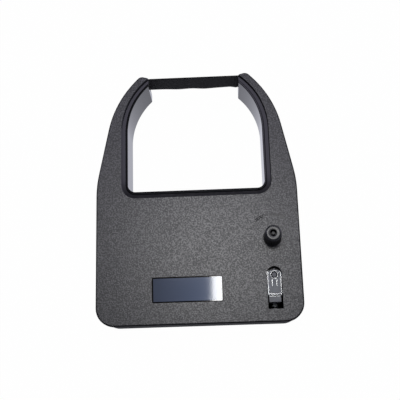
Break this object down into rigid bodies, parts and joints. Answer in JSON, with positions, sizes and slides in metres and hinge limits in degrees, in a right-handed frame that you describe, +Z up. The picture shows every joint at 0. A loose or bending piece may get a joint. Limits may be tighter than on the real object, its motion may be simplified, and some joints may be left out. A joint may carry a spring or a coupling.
{
  "type": "printer ribbon cartridge",
  "caption": "Flat black ribbon cartridge with two arms holding an inked ribbon across a print window, a fluted feed knob and a clear release slide.",
  "frame": {"origin": "on the underside, below the middle of the cartridge's length and width", "axes": "+Z up through the cover, +Y along the arms towards the exposed ribbon, +X towards the side with the knob"},
  "size_m": [0.094, 0.1206, 0.0297],
  "materials": {
    "cover_plastic": "moulded with a fine spark-eroded grain",
    "case_plastic": "moulded smooth, semi-gloss",
    "knob_plastic": "moulded, satin",
    "roller_plastic": "moulded acetal, satin",
    "roller_rubber": "moulded rubber, matt",
    "washer_plastic": "punched nylon, satin",
    "pin_steel": "ground",
    "spring_steel": "drawn and rolled, bright",
    "clear_plastic": "moulded clear, polished",
    "inked_cloth": "woven nylon, inked black",
    "felt": "pressed wool felt",
    "label_film": "plain bare film, glossy"
  },
  "bodies": {
    "case": {"bottom_case": "case_plastic", "top_cover": "cover_plastic", "ribbon": "inked_cloth", "drive_washer": "washer_plastic", "guide_roller_pin": "pin_steel", "left_tip_pin": "pin_steel", "right_tip_pin": "pin_steel", "brake_leaf": "spring_steel", "brake_pad": "felt", "ribbon_stripper": "roller_plastic", "slide_spring": "spring_steel", "label": "label_film"},
    "drive": {"drive_roller": "roller_plastic", "drive_tyre": "roller_rubber", "drive_knob": "knob_plastic"},
    "slide": {"idler_slide": "clear_plastic", "idler_pin": "pin_steel"},
    "idler": {"idler_roller": "roller_plastic", "idler_tyre": "roller_rubber"},
    "guide": {"guide_roller": "roller_plastic"}
  },
  "joints": [
    {"name": "drive_spin", "type": "hinge", "parent": "case", "child": "drive", "pos_m": [0.0342, -0.02193, 0], "axis": [0, 0, -1], "continuous": true},
    {"name": "slide_release", "type": "slide", "parent": "case", "child": "slide", "axis": [0, -1, 0], "range_m": [0, 0.003], "stiffness_N_per_m": 200, "springref_m": -0.001, "deforming": ["slide_spring"]},
    {"name": "idler_spin", "type": "hinge", "parent": "slide", "child": "idler", "pos_m": [0.0342, -0.03902, 0], "axis": [0, 0, -1], "continuous": true},
    {"name": "guide_spin", "type": "hinge", "parent": "case", "child": "guide", "pos_m": [-0.04, -0.00032, 0], "axis": [0, 0, -1], "continuous": true}
  ],
  "couplings": [
    {"joint": "idler_spin", "follows": "drive_spin", "ratio": -1.1111},
    {"joint": "guide_spin", "follows": "drive_spin", "ratio": 3.0508}
  ]
}
